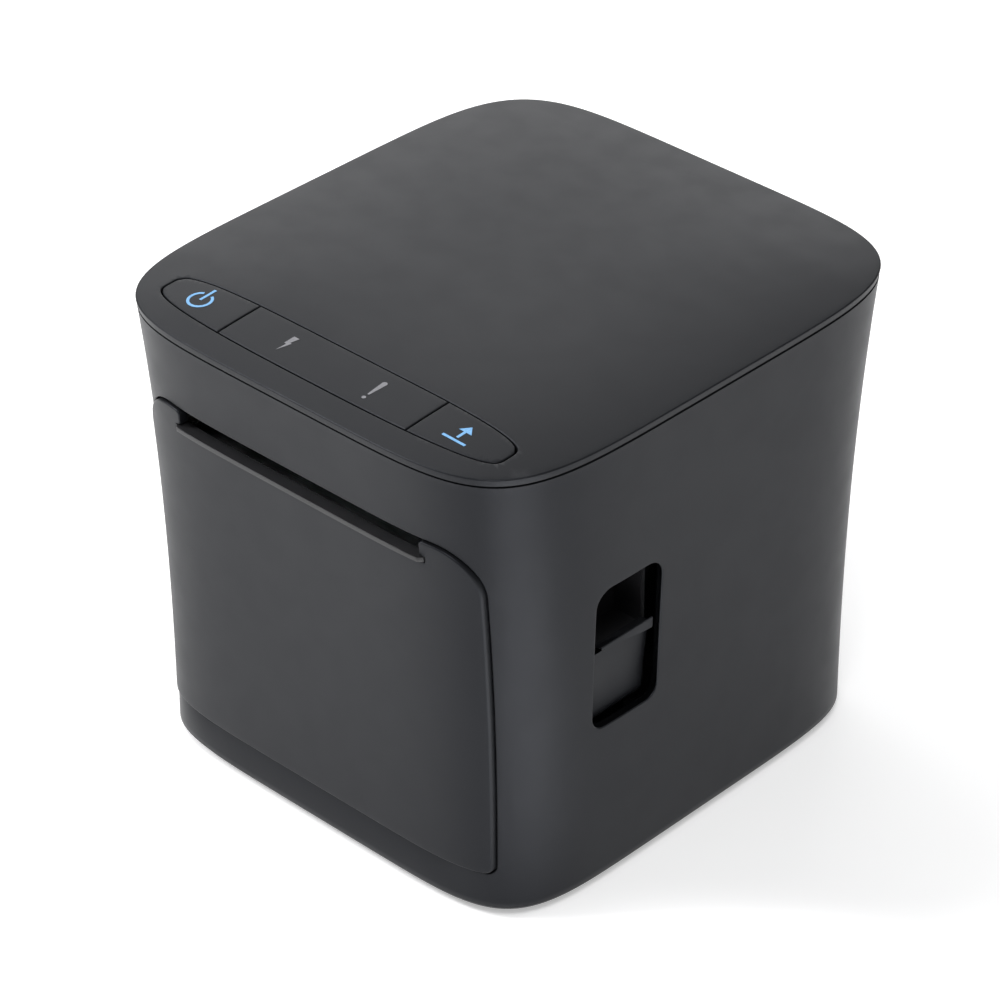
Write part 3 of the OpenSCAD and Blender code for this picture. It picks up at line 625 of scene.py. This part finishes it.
def lever_surface(flat, d):
    """The lever's plate, from its hollowed front at d = 0 to its flat back at d = 1."""
    y, z = flat[:, 0], flat[:, 1]
    hollow = ramp(z, LEDGE_Z - 20, LEDGE_Z - 3) * 1.2
    x = LEVER_FACE + hollow - rolled(y + 21.2) - rolled(50.8 - z)
    return np.stack([x + (LEVER_BACK - x) * d, y, z], axis=-1)


def lever_nose():
    """The finger ledge: a nose that thins towards the front, its top falling inwards."""
    front, rear = -38.0, -19.6
    sections = []
    for y in np.concatenate([front + np.array([0, 0.1, 0.3]), np.linspace(-37, -20.5, 12),
                             rear - np.array([0.3, 0.1, 0])]):
        pull = 0.25 * (1 - min(1.0, min(y - front, rear - y) / 0.3)) ** 2
        x, top = LEVER_NOSE - pull, LEDGE_Z - pull
        foot = LEDGE_Z - 0.9 - 2.3 * float(ramp(y, front, rear)) + pull
        section = [(LEVER_BACK, LEDGE_Z - 7.5), (LEVER_FACE, LEDGE_Z - 7.5),
                   (LEVER_FACE, foot - 0.5), (x - 0.25, foot), (x, foot + 0.2), (x, top - 0.25),
                   (x - 0.1, top - 0.05), (x - 0.3, top), (LEVER_BACK, LEDGE_Z - 5.6)]
        sections.append([(px, y, pz) for px, pz in section])
    return loft(sections)


def make_lever():
    """The sliding lever: its plate and ledge, the arm to the latch, the spring's seat."""
    outline = resample(rounded(-42.0, -18.1, 48.2, LEDGE_Z - 2.8, 0.8, 0.8), 0.7)
    face = plate(outline, [], lever_surface, depth=1.0, step=0.7)
    inner = LEVER_BACK + 0.2
    arm = block((span("release_lever")[0][0], -21.0, 62.5), (inner, -18.1, 65.5))
    seat = block((55, -41, 50), (inner, -35, 51.5), 0.3)
    return new_object("ReleaseLever", *joined([face, lever_nose(), arm, seat]), smooth=50)


def make_spring(name, node, wire, turns):
    """A coil of round wire of radius wire, capped at both ends, in its CAD node's box."""
    low, high = span(node)
    centre = (low + high) / 2
    radius = (high[0] - low[0]) / 2 - wire
    climb = high[2] - low[2] - 2 * wire
    per_turn, sides = 24, 10
    sections = []
    for k in range(per_turn * turns + 1):
        a = 2 * math.pi * k / per_turn
        z = low[2] + wire + climb * k / (per_turn * turns)
        section = []
        for i in range(sides):
            b = 2 * math.pi * i / sides
            r = radius + wire * math.cos(b)
            section.append((centre[0] + r * math.cos(a), centre[1] + r * math.sin(a),
                            z + wire * math.sin(b)))
        sections.append(section)
    return new_object(name, *loft(sections))


# ---------- materials ----------


class Shader:
    """A principled material whose nodes work in the object's own space, in millimetres."""

    def __init__(self, name, metal=0.0, specular=0.5, coat=0.0):
        self.material = bpy.data.materials.new(name)
        self.material.use_nodes = True
        self.tree = self.material.node_tree
        self.main = self.tree.nodes["Principled BSDF"]
        self.main.inputs["Metallic"].default_value = metal
        self.main.inputs["Specular IOR Level"].default_value = specular
        self.main.inputs["Coat Weight"].default_value = coat
        scale = self.add("ShaderNodeVectorMath", operation="SCALE")
        scale.inputs["Scale"].default_value = 1 / MM
        self.join(self.add("ShaderNodeTexCoord").outputs["Object"], scale.inputs[0])
        self.place = scale.outputs[0]

    def add(self, kind, **settings):
        """A new node with its settings."""
        node = self.tree.nodes.new(kind)
        for key, value in settings.items():
            setattr(node, key, value)
        return node

    def join(self, source, target):
        """Links two sockets."""
        self.tree.links.new(source, target)

    def stretched(self, factors):
        """The place with each axis scaled, for brushed or streaked finishes."""
        node = self.add("ShaderNodeVectorMath", operation="MULTIPLY")
        node.inputs[1].default_value = factors
        self.join(self.place, node.inputs[0])
        return node.outputs[0]

    def noise(self, size, detail=3.0, place=None):
        """Noise with features of about size millimetres."""
        node = self.add("ShaderNodeTexNoise")
        node.inputs["Scale"].default_value = 1 / size
        node.inputs["Detail"].default_value = detail
        self.join(place or self.place, node.inputs["Vector"])
        return node.outputs["Fac"]

    def ramp(self, source, low, high, start=0.35, end=0.65):
        """Maps start..end of a noise value onto low..high."""
        node = self.add("ShaderNodeMapRange")
        for name, value in (("From Min", start), ("From Max", end), ("To Min", low),
                            ("To Max", high)):
            node.inputs[name].default_value = value
        self.join(source, node.inputs["Value"])
        return node.outputs["Result"]

    def mix(self, factor, a, b):
        """Mixes two colours; each is a colour or a socket."""
        node = self.add("ShaderNodeMix", data_type="RGBA")
        self.join(factor, node.inputs["Factor"])
        for value, target in ((a, node.inputs[6]), (b, node.inputs[7])):
            if isinstance(value, tuple):
                target.default_value = (*value, 1.0)
            else:
                self.join(value, target)
        return node.outputs[2]

    def worn_edges(self, amount):
        """Where convex edges rub bare, broken up by noise."""
        sharp = self.ramp(self.add("ShaderNodeNewGeometry").outputs["Pointiness"],
                          0.0, amount, 0.53, 0.62)
        product = self.add("ShaderNodeMath", operation="MULTIPLY")
        self.join(sharp, product.inputs[0])
        self.join(self.ramp(self.noise(1.6), 0.35, 1.0), product.inputs[1])
        return product.outputs[0]

    def bump(self, source, depth):
        """Raises the surface by up to depth millimetres."""
        node = self.add("ShaderNodeBump")
        node.inputs["Strength"].default_value = 1.0
        node.inputs["Distance"].default_value = depth * MM
        self.join(source, node.inputs["Height"])
        self.join(node.outputs["Normal"], self.main.inputs["Normal"])

    def finish(self, colour, roughness):
        """Links the colour and the roughness, and gives the material."""
        self.join(colour, self.main.inputs["Base Color"])
        self.join(roughness, self.main.inputs["Roughness"])
        return self.material


def moulded(name, dark, light, worn, roughness, grain, depth, specular=0.5,
            tint=(1.0, 1.0, 1.0, 1.0)):
    """Injection-moulded plastic with a spark-eroded grain, its size and depth given."""
    s = Shader(name, specular=specular)
    s.main.inputs["Specular Tint"].default_value = tint
    fine = s.noise(grain, 2.0)
    colour = s.mix(s.ramp(s.noise(22.0), 0.0, 1.0), dark, light)
    colour = s.mix(s.ramp(fine, 0.0, 0.35), colour, tuple(1.35 * c for c in light))
    colour = s.mix(s.worn_edges(0.5), colour, worn)
    s.bump(fine, depth)
    return s.finish(colour, s.ramp(s.noise(9.0), roughness - 0.02, roughness + 0.02))


def metal_sheet(name, dark, light, roughness, streak):
    """Rolled or brushed metal, its streaks long where streak's factor is small."""
    s = Shader(name, metal=1.0)
    streaks = s.noise(0.35, place=s.stretched(streak))
    cloud = s.noise(6.0)
    colour = s.mix(s.ramp(streaks, 0.0, 1.0), dark, light)
    colour = s.mix(s.ramp(cloud, 0.0, 0.4), colour, dark)
    s.bump(streaks, 0.004)
    return s.finish(colour, s.ramp(cloud, roughness - 0.06, roughness + 0.08))


def rubber(name):
    """Soft rubber with dust in its pores."""
    s = Shader(name, specular=0.3)
    pores = s.noise(0.3, 4.0)
    colour = s.mix(s.ramp(s.noise(4.0), 0.0, 1.0), (0.012, 0.012, 0.012), (0.028, 0.028, 0.027))
    s.bump(pores, 0.03)
    return s.finish(s.mix(s.ramp(pores, 0.0, 0.3, 0.55, 0.75), colour, (0.06, 0.06, 0.055)),
                    s.ramp(pores, 0.78, 0.92))


def ink(name, dark, light):
    """Printed ink with slightly uneven cover."""
    s = Shader(name, specular=0.35)
    cover = s.noise(0.5, 4.0)
    s.bump(cover, 0.006)
    return s.finish(s.mix(s.ramp(cover, 0.0, 1.0), dark, light), s.ramp(cover, 0.42, 0.55))


def circuit_board(name):
    """Green solder mask over copper tracks."""
    s = Shader(name, specular=0.5, coat=0.3)
    tracks = s.add("ShaderNodeTexBrick")
    for key, value in (("Scale", 0.16), ("Mortar Size", 0.03), ("Brick Width", 0.9),
                       ("Row Height", 0.22)):
        tracks.inputs[key].default_value = value
    s.join(s.place, tracks.inputs["Vector"])
    cloud = s.noise(9.0)
    mask = s.mix(s.ramp(cloud, 0.0, 1.0), (0.008, 0.075, 0.03), (0.014, 0.11, 0.045))
    s.bump(tracks.outputs["Fac"], 0.03)
    return s.finish(s.mix(tracks.outputs["Fac"], mask, (0.03, 0.19, 0.08)),
                    s.ramp(cloud, 0.28, 0.4))


def make_materials():
    """One material for each slot of the record."""
    return {
        "case_plastic": moulded("BlackPlastic", (0.0050, 0.0053, 0.0063),
                                (0.0056, 0.0059, 0.0070), (0.026, 0.027, 0.030),
                                roughness=0.40, grain=0.28, depth=0.006, specular=0.23,
                                tint=(0.86, 0.90, 1.0, 1.0)),
        "inner_plastic": moulded("InnerPlastic", (0.011, 0.011, 0.012), (0.017, 0.017, 0.019),
                                 (0.05, 0.05, 0.052), roughness=0.45, grain=0.5, depth=0.012),
        "motor": moulded("MotorCan", (0.02, 0.02, 0.022), (0.03, 0.03, 0.032),
                         (0.16, 0.16, 0.165), roughness=0.35, grain=0.8, depth=0.008),
        "rubber": rubber("Rubber"),
        "steel": metal_sheet("Steel", (0.42, 0.43, 0.45), (0.60, 0.61, 0.63), roughness=0.34,
                             streak=(0.05, 1.0, 1.0)),
        "aluminium": metal_sheet("Aluminium", (0.60, 0.61, 0.62), (0.78, 0.78, 0.79),
                                 roughness=0.30, streak=(1.0, 1.0, 0.06)),
        "ceramic": moulded("Ceramic", (0.62, 0.60, 0.54), (0.70, 0.68, 0.62),
                           (0.8, 0.78, 0.72), roughness=0.28, grain=0.6, depth=0.004),
        "board": circuit_board("CircuitBoard"),
        "gear_plastic": moulded("GearPlastic", (0.60, 0.59, 0.54), (0.68, 0.67, 0.62),
                                (0.78, 0.77, 0.72), roughness=0.4, grain=0.5, depth=0.006),
        "symbol_blue": ink("SymbolBlue", (0.14, 0.35, 0.64), (0.20, 0.44, 0.74)),
        "symbol_grey": ink("SymbolGrey", (0.17, 0.17, 0.185), (0.22, 0.22, 0.235)),
        "led": moulded("LedLens", (0.62, 0.66, 0.62), (0.70, 0.74, 0.70),
                       (0.8, 0.84, 0.8), roughness=0.2, grain=0.7, depth=0.004),
    }


# ---------- stage, lengths in metres for lights and in millimetres for the camera ----------

CAMERA_AZIMUTH = 43.53              # degrees from the front, towards the right
CAMERA_ELEVATION = 33.52
CAMERA_DISTANCE = 1065.0
CAMERA_LENS = 150.7
TARGET_HEIGHT = 66.85
TARGET_SHIFT = (-2.55, -0.73)       # the aim's shift to the right and up

LIGHT_DISTANCE = 1.3
LIGHT_AIM = (0, 0, 0.07)
# azimuth from the camera's direction, elevation, size in metres, power in watts
SOFT_BOXES = {"LeftHigh": (270, 42, 0.35, 8.5), "LeftLow": (270, 16, 0.8, 2.1),
              "BackHigh": (225, 52, 0.8, 6.0), "BackLow": (180, 23, 0.8, 3.4),
              "Right": (94, 36, 0.3, 0.8), "FrontHigh": (0, 58, 0.4, 6.0)}
CORNER = 0.09                       # from the origin to the front right corner
POOL_AHEAD = 0.1                    # from that corner to the pool of light
POOL_TURN = 28.0                    # the pool's azimuth from the camera's direction


def heading(azimuth, elevation=0.0):
    """The direction at an azimuth from the front and an elevation, both in degrees."""
    a, e = math.radians(azimuth), math.radians(elevation)
    return Vector((math.sin(a) * math.cos(e), -math.cos(a) * math.cos(e), math.sin(e)))


def make_floor():
    """A wide pale table."""
    half, step, thick = 1500.0, 300.0, 4.0

    def surface(flat, d):
        return np.stack([flat[:, 0], flat[:, 1], -d + 0 * flat[:, 0]], axis=-1)

    outline = resample([(-half, -half), (half, -half), (half, half), (-half, half)], step)
    floor = new_object("Floor", *plate(outline, [], surface, depth=thick, step=step))
    s = Shader("Table", specular=0.2)
    s.main.inputs["Emission Color"].default_value = (1.0, 1.0, 1.0, 1.0)
    s.main.inputs["Emission Strength"].default_value = 0.38
    cloud = s.noise(60.0)
    floor.data.materials.append(s.finish(
        s.mix(s.ramp(cloud, 0.0, 1.0), (0.86, 0.86, 0.865), (0.88, 0.88, 0.885)),
        s.ramp(cloud, 0.68, 0.75)))


def add_light(light, place, aim):
    """Puts a light at a place and turns it towards aim."""
    obj = bpy.data.objects.new(light.name, light)
    obj.location = place
    obj.rotation_euler = (Vector(aim) - Vector(place)).to_track_quat("-Z", "Y").to_euler()
    bpy.context.scene.collection.objects.link(obj)


def pool_light():
    """A spot on the floor ahead of the front corner, which the corner mirrors."""
    ahead = heading(CAMERA_AZIMUTH)
    pool = ahead * CORNER + heading(CAMERA_AZIMUTH + POOL_TURN) * POOL_AHEAD
    light = bpy.data.lights.new("Pool", "SPOT")
    light.energy = 130.0
    light.spot_size = math.radians(9)
    light.spot_blend = 0.7
    light.shadow_soft_size = 0.02
    add_light(light, pool + ahead * 0.25 + Vector((0, 0, 1.1)), pool)


def make_lights():
    """A white room lit mostly from the left and from behind."""
    scene = bpy.context.scene
    scene.world = scene.world or bpy.data.worlds.new("Room")
    scene.world.use_nodes = True
    room = scene.world.node_tree.nodes["Background"]
    room.inputs["Color"].default_value = (1.0, 1.0, 1.0, 1.0)
    room.inputs["Strength"].default_value = 0.32
    for name, (azimuth, elevation, size, power) in SOFT_BOXES.items():
        light = bpy.data.lights.new(name, "AREA")
        light.shape = "SQUARE"
        light.size = size
        light.energy = power
        toward = heading(CAMERA_AZIMUTH + azimuth, elevation)
        add_light(light, toward * LIGHT_DISTANCE + Vector(LIGHT_AIM), LIGHT_AIM)
    pool_light()
    scene.view_settings.view_transform = "Standard"


def make_camera():
    """The camera at the photograph's angle."""
    back = heading(CAMERA_AZIMUTH, CAMERA_ELEVATION)
    right = heading(CAMERA_AZIMUTH + 90)
    up = back.cross(right)
    data = bpy.data.cameras.new("Camera")
    data.sensor_width = 36.0
    data.lens = CAMERA_LENS
    camera = bpy.data.objects.new("Camera", data)
    aim = Vector((0, 0, TARGET_HEIGHT)) + right * TARGET_SHIFT[0] + up * TARGET_SHIFT[1]
    camera.location = (aim + back * CAMERA_DISTANCE) * MM
    camera.rotation_euler = Matrix((right, up, back)).transposed().to_euler()
    bpy.context.scene.collection.objects.link(camera)
    bpy.context.scene.camera = camera


# ---------- assembly ----------

MATERIALS = make_materials()


def place(piece, body, slot, *nodes):
    """Gives a piece its material, parents it to the body it moves with and hides the CAD nodes it
    stands for.
    """
    piece.data.materials.append(MATERIALS[slot])
    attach(piece, body)
    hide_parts(*nodes)


def place_spring(name, node, wire, turns):
    """A steel coil spring in its CAD node's box, fixed to the case, with a mesh of its own."""
    spring = make_spring(name, node, wire, turns)
    place(spring, "case", "steel", node)
    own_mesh(spring)


for part in frame["record"]["subparts"]:
    for material_slot in frame["nodes"][part["node"]].material_slots:
        material_slot.material = MATERIALS[part["material_slot"]]

panel_end = KEY_SPLIT - KEY_GAP / 2
key_start = KEY_SPLIT + KEY_GAP / 2
place(make_case(), "case", "case_plastic", "housing_shell")
place(make_cover(), "case", "case_plastic", "top_cover")
place(make_key("PowerKey", -math.inf, -key_start, KEY_X[0]), "power", "case_plastic", "power_key")
place(make_key("FeedKey", key_start, math.inf, KEY_X[1]), "feed", "case_plastic", "feed_key")
place(make_key("StatusPanel", -panel_end, panel_end), "case", "case_plastic", "status_panel")
place(make_door(), "door", "case_plastic", "door_panel")
place(make_lip(), "door", "inner_plastic", "exit_lip")
place(make_lever(), "lever", "case_plastic", "release_lever")
place_spring("LeverSpring", "lever_spring", wire=0.35, turns=8)
place_spring("PowerSpring", "power_spring", wire=0.25, turns=3)
place_spring("FeedSpring", "feed_spring", wire=0.25, turns=3)

make_floor()
make_lights()
make_camera()
